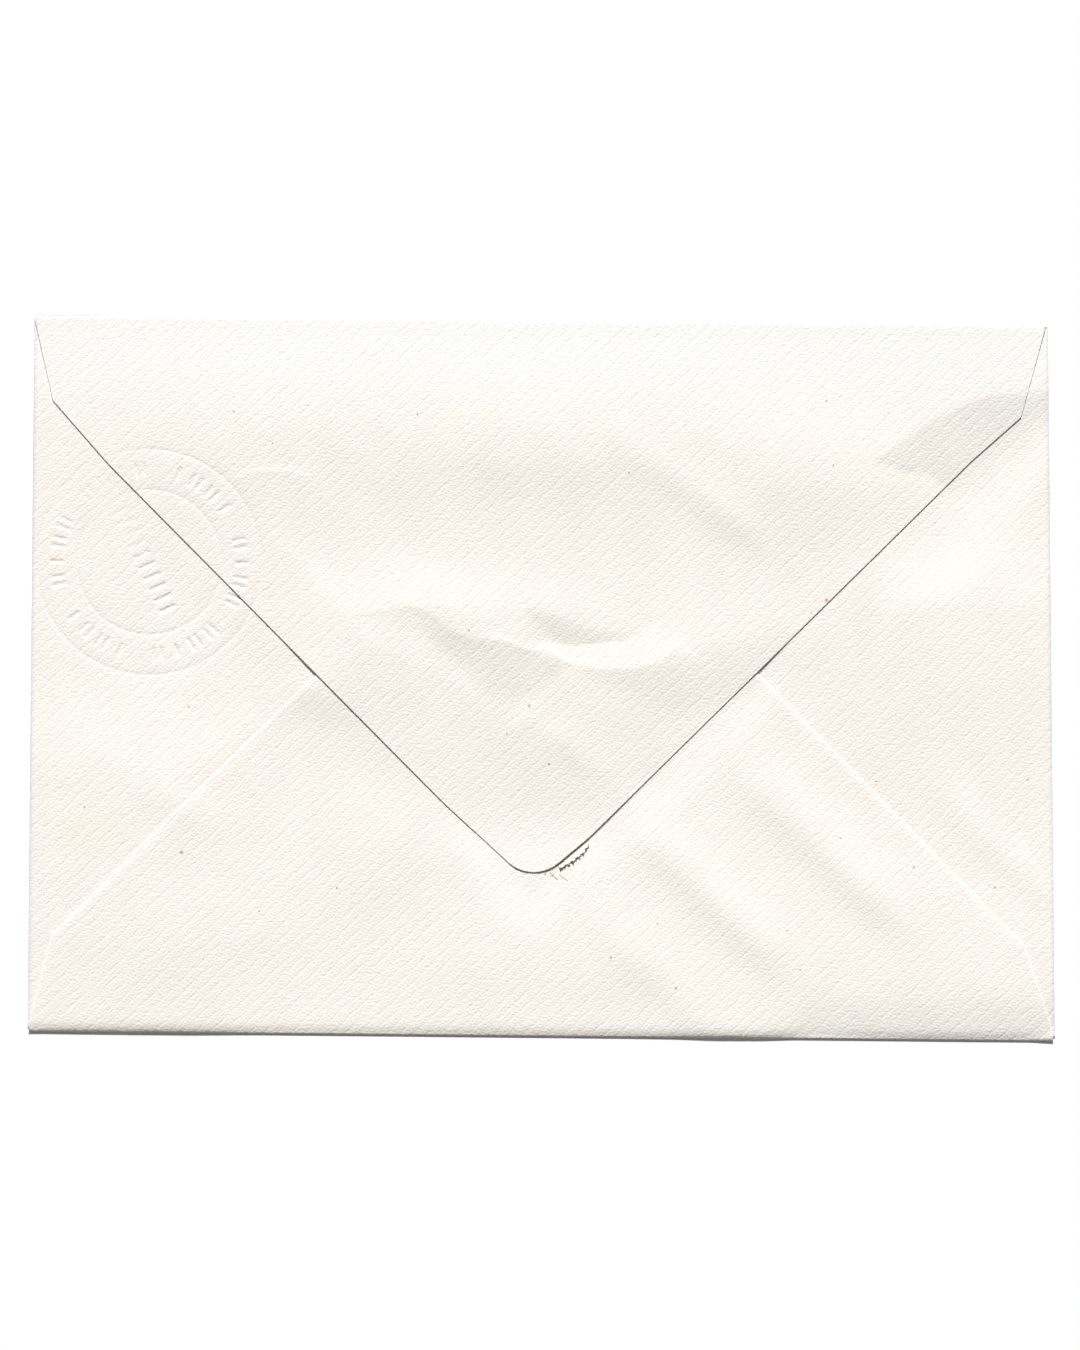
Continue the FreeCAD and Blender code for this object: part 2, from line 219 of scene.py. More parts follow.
def recess(u, v, half):
    """One where a point is inside a small rounded bar, none outside, with sloping walls between."""
    past_u = np.maximum(np.abs(u) - half[0], 0)
    past_v = np.maximum(np.abs(v) - half[1], 0)
    inside = np.minimum(np.maximum(np.abs(u) - half[0], np.abs(v) - half[1]), 0)
    return 1 - smooth_step(-WALL, WALL, np.hypot(past_u, past_v) + inside)


def rung_frame(x, y):
    """Along and across the row of rungs, from its first one."""
    dx, dy = x - RUNG_START[0], y - RUNG_START[1]
    c, s = math.cos(RUNG_TURN), math.sin(RUNG_TURN)
    return dx * c + dy * s, dy * c - dx * s


def seal(x, y):
    """How deep the seal is pressed at a point. The press bit less at the upper left."""
    dx, dy = x - SEAL_CENTRE[0], y - SEAL_CENTRE[1]
    radius = np.hypot(dx, dy)
    angle = np.arctan2(dy, dx)
    pressed = 1 - FAINTNESS * np.exp(-((np.cos(angle - FAINT_ANGLE) - 1) / FAINT_REACH) ** 2)
    rings = 0.0
    for ring in (SEAL_RADIUS, SEAL_INNER_RADIUS):
        gap = np.abs(radius - ring)
        rings = rings + RING_DEPTH * np.exp(-gap / RING_REACH)
        rings = rings + RING_GROOVE * np.exp(-(gap / RING_GROOVE_WIDTH) ** 2)
    step = 2 * math.pi / MARKS
    number = np.round(angle / step)
    across = (angle - number * step) * MARK_RADIUS
    pair = np.where(number % MARKS_TO_SINGLE == 0, 0.0, MARK_PAIR)
    marks = recess(radius - MARK_RADIUS, np.abs(across) - pair, MARK_HALF)
    marks = marks * (number % MARKS_TO_SPACE != SPACE)
    along, across = rung_frame(x, y)
    nearest = np.clip(np.round(along / RUNG_SPACING), 0, RUNGS - 1) * RUNG_SPACING
    rungs = recess(along - nearest, across, RUNG_HALF)
    return -pressed * (rings + MARK_DEPTH * (marks + rungs))


print("seal middle at", [round(value, 2) for value in SEAL_CENTRE])

# %% [markdown]
# ## Waves that run through all the flaps
# The flaps lie on each other, so a wave in one is a wave in all. A broad swelling crosses the page below
# its head. At the lower right, long waves with steep lower sides run down towards the corner, where the
# envelope was held and bent. A ridge's numbers are its two ends, its widths and its rise. A mound's are its
# middle, its reach, its turn and its rise. A bank's are its two lines, its tilt and its softness.

# %% Shared waves
SHARED_SINK = 0.54
HEAD_DROP = 0.50
HEAD_REACH = 9.0
HEAD_ROUNDING = 1.6
SHARED_RIDGES = (
    ((-95, 40), (70, 40), 15.0, 15.0, 0.52),
    ((20, 35), (84, 27), 9.0, 10.0, 0.42),
    ((40, 11), (90, 11), 10.0, 30.0, 0.55),
    ((-92, -17), (-40, -17), 11.0, 40.0, 0.50),
    ((4, -34), (34, -62), 5.5, 3.0, 0.18),
    ((9, -18), (44, -51), 4.5, 3.0, 0.32),
    ((26, -9.5), (63, -44), 5.0, 3.2, 0.34),
    ((58, -13), (84, -38), 3.2, 2.4, 0.14),
    ((-64, -22), (-28, 6), 3.0, 3.0, 0.08),
)
SHARED_MOUNDS = (
    ((-57, -21), (7, 4), -30, 0.16),
    ((-38, -3), (4.5, 3), -20, 0.14),
    ((-26, -27), (12, 9), 0, 0.26),
    ((-54, -42), (16, 8), 10, 0.12),
    ((-8, -46), (9, 8), 0, 0.14),
    ((10, -46), (7, 6), 0, 0.16),
    ((66, -56), (34, 28), 0, 0.52),
)
FOOT_BANK = (((34, -58), (43, -51.5), (85, -51)), ((34, -62), (85, -62)), 0.095, 1.3)
FOOT_SLOPE = (-36, -56, 0.12)


def shared_waves(x, y):
    from_head = np.maximum(HEAD - y, 0)
    height = -SHARED_SINK - HEAD_DROP * np.exp(-(from_head / HEAD_REACH) ** HEAD_ROUNDING)
    foot_top, foot_end, foot_drop = FOOT_SLOPE
    height = height - foot_drop * smooth_fall(foot_top, foot_end, y)
    height = height + sum(ridge(x, y, *one) for one in SHARED_RIDGES)
    height = height + sum(mound(x, y, *one) for one in SHARED_MOUNDS)
    return height + bank(x, y, *FOOT_BANK)


print("waves:", len(SHARED_RIDGES), "ridges and", len(SHARED_MOUNDS), "mounds")

# %% [markdown]
# ## The closing flap's own creases
# A long crease crosses the flap. Beside it a dimple and a small buckled ledge catch the light. Below
# them the paper slopes away, and at the right shoulder a corner of it is pressed down. A crease's numbers
# are its reach above and below, its rise and how softly it is rounded.

# %% Closing flap relief
CLOSING_TIP = (-1.64, -32.92)
CLOSING_SHOULDERS = ((-78.51, 43.26), (75.24, 42.04))
MAIN_CREASE = ((-26, 10.6), (-21.3, 11.2), (-18.4, 10.2), (-14.6, 7.2), (-12, 6.1), (-7, 5.6))
FAINT_CREASE = ((-31.4, 9.6), (-28, 9.9), (-24.4, 10.2))
STEP_CREASE = ((-10, 6.6), (-6.3, 5.8), (-3.3, 4.6), (-1.4, 4.1), (0.2, 4.6), (2.3, 3.2), (4.8, 2.1))
LEDGE_CREASE = (
    (-2, 4.6), (2.2, 3.0), (4.8, 1.9), (9, 1.4), (14, 1.5), (18, 2.6), (20.5, 4.6), (22.5, 7.5),
)
DIMPLE_CREASE = ((-4, 6.2), (0.3, 5.6), (4, 5.2), (8, 5.4), (12.5, 5.9), (15.5, 7.2), (18.5, 10.5))
SMALL_CREASE = ((-50.6, 30.6), (-46.1, 32.4), (-41.1, 32.4), (-36.6, 31.2))
LONG_CREASE = ((-50, 27), (-41, 19), (-28.5, 5.5), (-18, 1), (-8, -4.5), (2, -10), (10, -18))
PRESSED_TOP = ((51.5, 34.7), (55, 37), (59.5, 40.4), (64.5, 43.2), (70, 45.4), (79, 46))
PRESSED_FOOT = ((51.5, 34.7), (57, 33.4), (61, 32.6), (64, 30), (80, 30))
DARK_SIDE_TOP = ((-20, 8), (-15, 7), (-11, 5.5), (-2, 5), (3, 1))
DARK_SIDE_FOOT = ((-20, 8), (-15, 3), (-9, -3), (-5, -5), (3, 1))
DIMPLE_TOP = ((-4, 11), (-2, 11.0), (2, 10.0), (5, 8.5), (8, 7.4), (13, 7))
DIMPLE_FOOT = ((-4, 11), (-2, 9.0), (1, 6.4), (4, 4.9), (8, 5.2), (13, 7))
SLOPE_TOP = ((5, 1.3), (20, 2.6), (26, 5), (33, 6), (40, 8))
SLOPE_FOOT = ((5, 1.3), (12, -2), (20, -5), (33, -3), (40, 8))
CLOSING_BANKS = (
    (PRESSED_TOP, PRESSED_FOOT, 0.095, 0.25),
    (DARK_SIDE_TOP, DARK_SIDE_FOOT, 0.058, 0.4),
    (DIMPLE_TOP, DIMPLE_FOOT, 0.085, 0.3),
    (SLOPE_TOP, SLOPE_FOOT, 0.052, 0.6),
    (((-16, -12), (10, -12)), ((-16, -23), (10, -23)), 0.018, 1.5),
    (((-10, -25), (10, -25)), ((-10, -31), (10, -31)), -0.05, 0.8),
)
CLOSING_RIDGES = (
    ((-46, 11), (16, 8), 6.5, 16.0, 0.37),
    ((-24, 37), (18, 34), 12.0, 5.0, 0.16),
    ((6, 42), (40, 18), 3.0, 2.6, 0.17),
    ((-2, -5), (18, -23), 1.8, 1.8, 0.06),
    ((-8, -12), (6, 2), 1.5, 1.5, 0.06),
    ((-40, 40), (-18, 18), 2.6, 2.6, -0.05),
)
CLOSING_MOUNDS = (
    ((2, -9), (18, 9), 0, 0.10),
    ((18, 0), (16, 9), 10, 0.30),
    ((68, 44), (18, 30), 0, 0.34),
    ((-32, 1), (8, 8), -20, 0.20),
    ((-17.5, 11.5), (7.5, 4.5), -12, 0.16),
)
CLOSING_CREASES = (
    (MAIN_CREASE, 4.6, 1.3, 0.10, 0.25),
    (FAINT_CREASE, 1.0, 0.25, 0.035),
    (STEP_CREASE, 0.5, 1.6, 0.07),
    (LEDGE_CREASE, 2.0, 4.0, 0.15),
    (DIMPLE_CREASE, 2.2, 1.8, -0.10),
    (LONG_CREASE, 2.6, 7.0, 0.12, 0.8),
    (SMALL_CREASE, 0.35, 2.6, 0.05),
)


def closing_own(x, y):
    """What the closing flap has and the flaps under it don't."""
    height = sum(ridge(x, y, *one) for one in CLOSING_RIDGES)
    height = height + sum(mound(x, y, *one) for one in CLOSING_MOUNDS)
    height = height + sum(bank(x, y, *one) for one in CLOSING_BANKS)
    for one in CLOSING_CREASES:
        height = height + crease(x, y, *one)
    return height


def closing_relief(x, y):
    return closing_own(x, y) + seal(x, y) + shared_waves(x, y)


print("closing flap:", len(CLOSING_CREASES), "creases and", len(CLOSING_BANKS), "slopes")

# %% [markdown]
# ## The other flaps' relief
# The flaps below lie close under the closing flap's edge and take its waves on, a little less close at
# its tip. Further out they lie freely. No flap goes deeper than what lies under it allows. Each one bends
# down to its fold in the last millimetre or two, and the bottom flap's cut edges are a little rounded.

# %% Side and bottom flap relief
FOLLOW_REACH = 8.0
FOLLOW_FULLY = 0.3
SHOULDER_REACH = ((68, 20), (16, 12), 0, 7.0)
SHOULDER_DIP = ((72, 20), (13, 13), 0, 0.14)
DEEPEST = -(POCKET_GAP - 0.04)
REST_SOFTNESS = 0.03
SIDE_TIP_EDGE = 24.4
SIDE_TIP_SOFTNESS = 4
LOWER_LIFT = 0.26
LOWER_SINK = 0.32
SINK_SPAN = (20, -28)
SEAM_CLIMB = 8.0
EDGE_GAP = 0.05
HIDDEN_GAP = 0.10
HIDDEN_SPAN = (1, 7)
TIP_GAP = ((4, -28), (10, 6), 45, 0.24)
SIDE_DROP = 0.12
SIDE_DROP_REACH = 1.1
FOOT_DROP = 0.20
FOOT_DROP_REACH = 0.85
SEAM_ROUNDING = 0.06
SEAM_REACH = 0.30
BOTTOM_ROOTS = (LEFT + 0.2, right_outline(FOOT) - 0.3)
BOTTOM_TIP = (-1.0, 35.61)
BOTTOM_SHOULDERS = ((-77.82, -41.62), (76.65, -41.95))
SEAM_LINE = (
    (BOTTOM_ROOTS[0], FOOT),
    BOTTOM_SHOULDERS[0],
    BOTTOM_TIP,
    BOTTOM_SHOULDERS[1],
    (BOTTOM_ROOTS[1], FOOT),
)


def above_line(x, y, start, end):
    """How far a point lies above a line that runs to the right."""
    (ax, ay), (bx, by) = start, end
    return ((bx - ax) * (y - ay) - (by - ay) * (x - ax)) / math.dist(start, end)


def under_closing_flap(x, y):
    """How far a point lies inside the closing flap's two long edges."""
    left, right = CLOSING_SHOULDERS
    return np.minimum(above_line(x, y, left, CLOSING_TIP), above_line(x, y, CLOSING_TIP, right))


def rested(height, deepest):
    """A height that settles softly on the deepest one allowed."""
    return deepest + REST_SOFTNESS * np.logaddexp(0, (height - deepest) / REST_SOFTNESS)


def beyond_bottom_flap(x, y):
    """How far a point lies outside the bottom flap's two long edges."""
    left, right = BOTTOM_SHOULDERS
    return np.maximum(above_line(x, y, left, BOTTOM_TIP), above_line(x, y, BOTTOM_TIP, right))


def lower_relief(x, y):
    """The flaps below follow the closing flap near its edge, and lie freely further out."""
    inside_edge = under_closing_flap(x, y)
    follows = smooth_step(-FOLLOW_REACH - mound(x, y, *SHOULDER_REACH), FOLLOW_FULLY, inside_edge)
    free = LOWER_LIFT - LOWER_SINK * smooth_fall(*SINK_SPAN, y) - mound(x, y, *SHOULDER_DIP)
    room = FLAP_GAP + PAPER * smooth_step(0, SEAM_CLIMB, beyond_bottom_flap(x, y))
    gap = EDGE_GAP + HIDDEN_GAP * smooth_step(*HIDDEN_SPAN, inside_edge) + mound(x, y, *TIP_GAP)
    return shared_waves(x, y) + free + follows * (closing_own(x, y) + room - gap - free)


def side_relief(x, y):
    from_side = np.minimum(x - LEFT, right_outline(y) - x)
    height = rested(lower_relief(x, y) - SIDE_DROP * np.exp(-from_side / SIDE_DROP_REACH), DEEPEST)
    return height + seal(x, y) * (x < 0)


def bottom_relief(x, y):
    free = smooth_step(0, SIDE_TIP_SOFTNESS, SIDE_TIP_EDGE + np.abs(y) - np.abs(x))
    height = lower_relief(x, y) - FOOT_DROP * np.exp(-((y - FOOT) / FOOT_DROP_REACH) ** 2)
    from_seam = np.abs(nearest_on_line(x, y, SEAM_LINE)[0])
    height = height + SEAM_ROUNDING * (1 - np.exp(-from_seam / SEAM_REACH)) - SEAM_ROUNDING
    return rested(height, DEEPEST - free * PAPER)


print("deepest relief of a side flap, mm:", round(DEEPEST, 2))

# %% [markdown]
# ## Outlines
# Straight cuts with small round corners. A round corner is drawn as an arc that touches both of its
# straight edges, as the die that cut the blank did. The fold lines are left as straight runs, whose
# points are shared with the folds.

# %% Outline of a flap
EDGE_STEP = 0.9


def run_points(start, end, step=EDGE_STEP):
    """Evenly spaced points from start up to, but not at, the end."""
    count = max(1, round(math.dist(start, end) / step))
    return [
        (start[0] + (end[0] - start[0]) * i / count, start[1] + (end[1] - start[1]) * i / count)
        for i in range(count)
    ]


def arc_points(before, corner, after, radius, step=EDGE_STEP):
    """A round corner's arc, from its first tangent point up to, and with, its last."""
    into = (Vector(before) - Vector(corner)).normalized()
    out = (Vector(after) - Vector(corner)).normalized()
    half = into.angle(out) / 2
    side = 1 if into.x * out.y - into.y * out.x < 0 else -1
    centre = Vector(corner) + (into + out).normalized() * (radius / math.sin(half))
    first = Vector(corner) + into * (radius / math.tan(half)) - centre
    sweep = side * (math.pi - 2 * half)
    count = max(2, round(abs(sweep) * radius / step))
    turns = [sweep * i / count for i in range(count + 1)]
    return [
        (
            centre.x + first.x * math.cos(turn) - first.y * math.sin(turn),
            centre.y + first.x * math.sin(turn) + first.y * math.cos(turn),
        )
        for turn in turns
    ]


def outline(corners):
    """A closed outline, anticlockwise. Each corner is (x, y, radius), with radius 0 where it is sharp."""
    count = len(corners)
    pieces = []
    for index, (x, y, radius) in enumerate(corners):
        before, after = corners[index - 1][:2], corners[(index + 1) % count][:2]
        pieces.append(arc_points(before, (x, y), after, radius) if radius else [(x, y)])
    points = []
    for index, piece in enumerate(pieces):
        following = pieces[(index + 1) % count]
        points += piece[:-1] + run_points(piece[-1], following[0])
    return points


print("a corner of radius 6 takes", len(arc_points((0, 9), (0, 0), (9, 0), 6.0)), "points")

# %% [markdown]
# ## A layer as a fine net of triangles
# A plain grid would waste points on flat paper and starve the seal. So there are few points where the
# paper is smooth, and many along creases and round the seal's marks. Delaunay triangulation joins them.

# %% Points where the relief needs them
NET_STEP = 1.45
HIDDEN_STEP = 5.0
CREASE_STEP = 0.6
CREASE_ROWS = (-2.4, -1.3, -0.6, -0.25, 0.0, 0.25, 0.6, 1.3, 2.4)
SLOPE_ROWS = (-0.8, 0.0, 0.8)
FOLD_ROWS = (0.4, 0.9, 1.6, 2.6)
SEAM_ROWS = (0.2, 0.45, 0.8, 1.4)
RING_POINTS = ((SEAL_RADIUS, 200), (SEAL_INNER_RADIUS, 140))
RING_ROWS = (-1.9, -1.1, -0.6, -0.36, -0.18, 0.0, 0.18, 0.36, 0.6, 1.1, 1.9)
MARK_ALONG = (-1.5, -1.22, -1.05, -0.88, -0.3, 0.3, 0.88, 1.05, 1.22, 1.5)
MARK_ACROSS = (-1.3, -1.05, -0.86, -0.62, -0.38, -0.18, 0.0, 0.18, 0.38, 0.62, 0.86, 1.05, 1.3)
RUNG_ACROSS = (-0.7, -0.44, -0.28, -0.12, 0.12, 0.28, 0.44, 0.7)
RUNG_ALONG = (-1.8, -1.57, -1.4, -1.23, -0.6, 0.0, 0.6, 1.23, 1.4, 1.57, 1.8)


def on_seal(radius, turn):
    """The point of the seal at a distance from its middle and a turn about it."""
    return SEAL_CENTRE[0] + radius * math.cos(turn), SEAL_CENTRE[1] + radius * math.sin(turn)


def seal_points():
    """Points on the rings, on the walls of the marks and on the walls of the rungs."""
    points = []
    for ring, count in RING_POINTS:
        for offset in RING_ROWS:
            points += [on_seal(ring + offset, 2 * math.pi * i / count) for i in range(count)]
    for i in range(MARKS):
        for u in MARK_ALONG:
            for v in MARK_ACROSS:
                points.append(on_seal(MARK_RADIUS + u, 2 * math.pi * i / MARKS + v / MARK_RADIUS))
    c, s = math.cos(RUNG_TURN), math.sin(RUNG_TURN)
    for i in range(RUNGS):
        for u in RUNG_ACROSS:
            for v in RUNG_ALONG:
                along = i * RUNG_SPACING + u
                points.append((RUNG_START[0] + along * c - v * s, RUNG_START[1] + along * s + v * c))
    return points


def crease_points(bends, offsets=CREASE_ROWS, step=CREASE_STEP):
    """Rows of points along a crease and to both sides of it."""
    points = []
    for start, end in zip(bends, bends[1:]):
        length = math.dist(start, end)
        normal = (-(end[1] - start[1]) / length, (end[0] - start[0]) / length)
        for x, y in run_points(start, end, step):
            points += [(x + normal[0] * offset, y + normal[1] * offset) for offset in offsets]
    return points


def edge_points(edge, offsets):
    """Rows of points beside a straight edge, at some distances to its left."""
    return crease_points(edge, offsets, EDGE_STEP)


print("points for the seal:", len(seal_points()))

# %% [markdown]
# The fine points come first, and an even net fills the room that they leave.

# %% Triangles inside an outline
FINE_GAP = 0.14
NET_GAP = 0.55
SAME_POINT = 1e-5


def inside(points, border):
    """Which points lie inside an outline."""
    x, y = points[:, 0], points[:, 1]
    crossed = np.zeros(len(points), bool)
    for (ax, ay), (bx, by) in zip(border, border[1:] + border[:1]):
        if ay != by:
            spans = (ay > y) != (by > y)
            crossed ^= spans & (x < (bx - ax) * (y - ay) / (by - ay) + ax)
    return crossed


def spaced(points, kept, gap):
    """The points that stay at least a gap away from those already kept, and from each other."""
    tree = KDTree(len(kept) + len(points))
    everything = list(kept) + list(points)
    for index, (x, y) in enumerate(everything):
        tree.insert((x, y, 0), index)
    tree.balance()
    alive = [True] * len(everything)
    for index in range(len(kept), len(everything)):
        x, y = everything[index]
        near = tree.find_range((x, y, 0), gap)
        alive[index] = not any(alive[other] and other < index for _, other, _ in near)
    return [everything[index] for index in range(len(kept), len(everything)) if alive[index]]


def net(border, fine, step):
    """Points and triangles of a flat layer: its border, its fine points and an even net between."""
    xs, ys = zip(*border)
    rows = np.arange(min(ys) + step / 2, max(ys), step * math.sqrt(3) / 2)
    hexes = []
    for number, y in enumerate(rows):
        hexes += [(x, y) for x in np.arange(min(xs) + step / 2 * (number % 2), max(xs), step)]
    kept = list(border)
    for points, gap in ((fine, FINE_GAP), (hexes, step * NET_GAP)):
        points = np.reshape(points, (-1, 2))
        points = [tuple(point) for point in points[inside(points, border)]]
        kept += spaced(points, kept, gap)
    vectors = [Vector(point) for point in kept]
    loop = list(range(len(border)))
    made = delaunay_2d_cdt(vectors, [], [loop], 1, SAME_POINT)
    return [(vertex.x, vertex.y) for vertex in made[0]], made[2]


square = outline([(0, 0, 0), (10, 0, 0), (10, 10, 0), (0, 10, 0)])
print("a 10 mm square takes", len(net(square, [], NET_STEP)[1]), "triangles")

# %% [markdown]
# ## From flat layers to one folded sheet
# Each flap hangs on its fold, a half tube that climbs from the panel on the table to the flap's height.
# The fold's points repeat the last row of the flap and of the panel, so that joining doubled points
# makes one surface. Each point also remembers where it was on the flat blank, before folding: the
# paper's ribs run straight across that blank, and so turn over with each flap.

# %% The sheet under construction
FOLD_STEPS = 14
sheet_points = []
sheet_blank = []
sheet_faces = []


def grid_faces(rows, columns):
    """Faces with four corners between neighbouring rows of points."""
    starts = [row * columns + place for row in range(rows - 1) for place in range(columns - 1)]
    return [[a, a + 1, a + columns + 1, a + columns] for a in starts]


def add_part(points, blank, faces):
    first = len(sheet_points)
    sheet_points.extend(points)
    sheet_blank.extend(blank)
    sheet_faces.extend([[first + index for index in face] for face in faces])


class Fold:
    """A straight fold: a point on its axis, the way out of the page, and the flap it carries."""

    def __init__(self, point, turn, flap_middle, relief):
        self.point = point
        self.out = (math.cos(math.radians(turn)), math.sin(math.radians(turn)))
        self.radius = flap_middle / 2 - PANEL_MIDDLE / 2
        self.flap_middle = flap_middle
        self.relief = relief

    def inward(self, x, y):
        """How far a point of the page is from the axis, inwards."""
        return (self.point[0] - x) * self.out[0] + (self.point[1] - y) * self.out[1]

    def blank(self, x, y, past):
        """A point's place on the flat blank, where past is the paper beyond the axis."""
        shift = self.inward(x, y) + past
        return x + self.out[0] * shift, y + self.out[1] * shift

    def height(self, x, y):
        return self.flap_middle + self.relief(x, y)

    def add_tube(self, line):
        """The half tube along a row of axis points."""
        points, blank = [], []
        for x, y in line:
            for step in range(FOLD_STEPS + 1):
                turn = math.pi * step / FOLD_STEPS
                reach = self.radius * math.sin(turn)
                px, py = x + self.out[0] * reach, y + self.out[1] * reach
                top = float(self.height(np.float64(px), np.float64(py)))
                points.append((px, py, PANEL_MIDDLE + (top - PANEL_MIDDLE) * (1 - math.cos(turn)) / 2))
                blank.append(self.blank(x, y, self.radius * turn))
        add_part(points, blank, grid_faces(len(line), FOLD_STEPS + 1))

    def add_flap(self, border, fine):
        """The flap itself, folded back over the page."""
        flat_points, faces = net(border, fine, NET_STEP)
        x, y = np.array(flat_points).T
        z = self.height(x, y)
        past = math.pi * self.radius
        blank = [self.blank(px, py, past + self.inward(px, py)) for px, py in flat_points]
        add_part(list(zip(x, y, z)), blank, [list(face)[::-1] for face in faces])
        return len(faces)


print("steps round a fold:", FOLD_STEPS)

# %% [markdown]
# The fold axes lie half a fold inside the outline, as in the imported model.

# %% Four folds
side_radius = (SIDE_MIDDLE + PAPER / 2) / 2
foot_radius = (BOTTOM_MIDDLE + PAPER / 2) / 2
head_radius = (CLOSING_MIDDLE + PAPER / 2) / 2
LEFT_AXIS = LEFT + side_radius
FOOT_AXIS = FOOT + foot_radius
HEAD_AXIS = HEAD - head_radius


def right_axis(y):
    return right_outline(y) - side_radius / math.cos(LEAN)


left_fold = Fold((LEFT_AXIS, 0), 180, SIDE_MIDDLE, side_relief)
right_fold = Fold((right_axis(0), 0), math.degrees(LEAN), SIDE_MIDDLE, side_relief)
bottom_fold = Fold((0, FOOT_AXIS), -90, BOTTOM_MIDDLE, bottom_relief)
closing_fold = Fold((0, HEAD_AXIS), 90, CLOSING_MIDDLE, closing_relief)
print("fold radii:", [round(fold.radius, 2) for fold in (left_fold, bottom_fold, closing_fold)])

# %% [markdown]
# ## The address panel
# It lies flat on the table and only its edges show, so its net is coarse.

# %% Address panel
HEAD_CORNER_GAP = 0.5
FOOT_CORNER_GAP = 0.75
SIDE_TOP = HEAD - HEAD_CORNER_GAP
SIDE_BOTTOM = FOOT + FOOT_CORNER_GAP
FOLD_STEP = 1.5


def fold_line(start, end):
    return run_points(start, end, FOLD_STEP) + [end]


left_line = fold_line((LEFT_AXIS, SIDE_BOTTOM), (LEFT_AXIS, SIDE_TOP))
right_line = fold_line((right_axis(SIDE_BOTTOM), SIDE_BOTTOM), (right_axis(SIDE_TOP), SIDE_TOP))
CLOSING_ROOTS = (LEFT + 0.1, right_outline(HEAD_AXIS) - 0.5)
foot_line = fold_line((BOTTOM_ROOTS[0], FOOT_AXIS), (BOTTOM_ROOTS[1], FOOT_AXIS))
head_line = fold_line((CLOSING_ROOTS[1], HEAD_AXIS), (CLOSING_ROOTS[0], HEAD_AXIS))


def between(line, low, high):
    """The points of a fold line whose x lies between two values."""
    return [point for point in line if low < point[0] < high]


foot_left, foot_right = (LEFT_AXIS, FOOT_AXIS), (right_axis(FOOT_AXIS), FOOT_AXIS)
head_left, head_right = (LEFT_AXIS, HEAD_AXIS), (right_axis(HEAD_AXIS), HEAD_AXIS)
panel_border = [foot_left] + between(foot_line, foot_left[0], foot_right[0]) + [foot_right]
panel_border += right_line + [head_right] + between(head_line, head_left[0], head_right[0])
panel_border += [head_left] + left_line[::-1]
panel_points, panel_faces = net(panel_border, [], HIDDEN_STEP)
add_part([(x, y, PANEL_MIDDLE) for x, y in panel_points], panel_points, [list(f) for f in panel_faces])
print("address panel:", len(panel_faces), "triangles")

# %% [markdown]
# ## Side flaps
# Two pointed flaps with round tips, folded in first. The left one carries most of the seal.

# %% Side flaps
SIDE_DEPTH = 56.0
SIDE_TIP_RADIUS = 12.0


def tip_cut(before, tip, after, radius):
    """The border of a pointed flap from one end of its fold round its tip to the other end."""
    arc = arc_points(before, tip, after, radius)
    return run_points(before, arc[0]) + arc[:-1] + run_points(arc[-1], after)


near_left = edge_points((left_line[0], left_line[-1]), [-row for row in FOLD_ROWS])
near_right = edge_points((right_line[0], right_line[-1]), FOLD_ROWS)
for fold, line, tip, fine in (
    (left_fold, left_line, LEFT_AXIS + SIDE_DEPTH, seal_points() + near_left),
    (right_fold, right_line[::-1], right_axis(0) - SIDE_DEPTH, near_right),
):
    border = line[:0:-1] + tip_cut(line[0], (tip, 0.0), line[-1], SIDE_TIP_RADIUS)
    fold.add_tube(line)
    print("side flap:", fold.add_flap(border, fine), "triangles")

# %% [markdown]
# ## Bottom flap
# Folded up over the side flaps and glued to them. Its edges are the two light seams that run up to the
# closing flap. Its own point is hidden under that flap, so a plain rounded one is a fair guess.

# %% Bottom flap
BOTTOM_SHOULDER_RADIUS = 1.8
BOTTOM_TIP_RADIUS = 30.0
bottom_corners = [
    (*foot_line[-1], 0),
    (*BOTTOM_SHOULDERS[1], BOTTOM_SHOULDER_RADIUS),
    (*BOTTOM_TIP, BOTTOM_TIP_RADIUS),
    (*BOTTOM_SHOULDERS[0], BOTTOM_SHOULDER_RADIUS),
    (*foot_line[0], 0),
]


def flap_border(corners, line):
    """A flap's border: its fold line, then its cut edge back to where that line starts."""
    whole = outline(corners + [(*line[len(line) // 2], 0)])
    first, last = whole.index(tuple(line[-1])), whole.index(tuple(line[0]))
    return line[:-1] + whole[first:last]


bottom_border = flap_border(bottom_corners, foot_line)
near_foot = edge_points((foot_line[0], foot_line[-1]), FOLD_ROWS)
near_seams = edge_points(SEAM_LINE[::-1], SEAM_ROWS)
bottom_fold.add_tube(foot_line)
print("bottom flap:", bottom_fold.add_flap(bottom_border, near_foot + near_seams), "triangles")

# %% [markdown]
# ## Closing flap
# The last one down. It shows its whole shape: two long edges at right angles, small rounded shoulders and
# a round tip. The long edges aren't quite straight, so each has a bend near its shoulder and near the tip.

# %% Closing flap
CLOSING_TIP_RADIUS = 6.0
CLOSING_SHOULDER_RADIUS = 0.8
BEND_RADIUS = 30.0
LEFT_BENDS = ((-69.56, 33.22), (-15.54, -20.37))
RIGHT_BENDS = ((7.43, -25.24), (67.5, 35.07))
closing_corners = [
    (*head_line[-1], 0),
    (*CLOSING_SHOULDERS[0], CLOSING_SHOULDER_RADIUS),
    (*LEFT_BENDS[0], BEND_RADIUS),
    (*LEFT_BENDS[1], BEND_RADIUS),
    (*CLOSING_TIP, CLOSING_TIP_RADIUS),
    (*RIGHT_BENDS[0], BEND_RADIUS),
    (*RIGHT_BENDS[1], 0),
    (*CLOSING_SHOULDERS[1], CLOSING_SHOULDER_RADIUS),
    (*head_line[0], 0),
]
closing_border = flap_border(closing_corners, head_line)
closing_fine = seal_points()
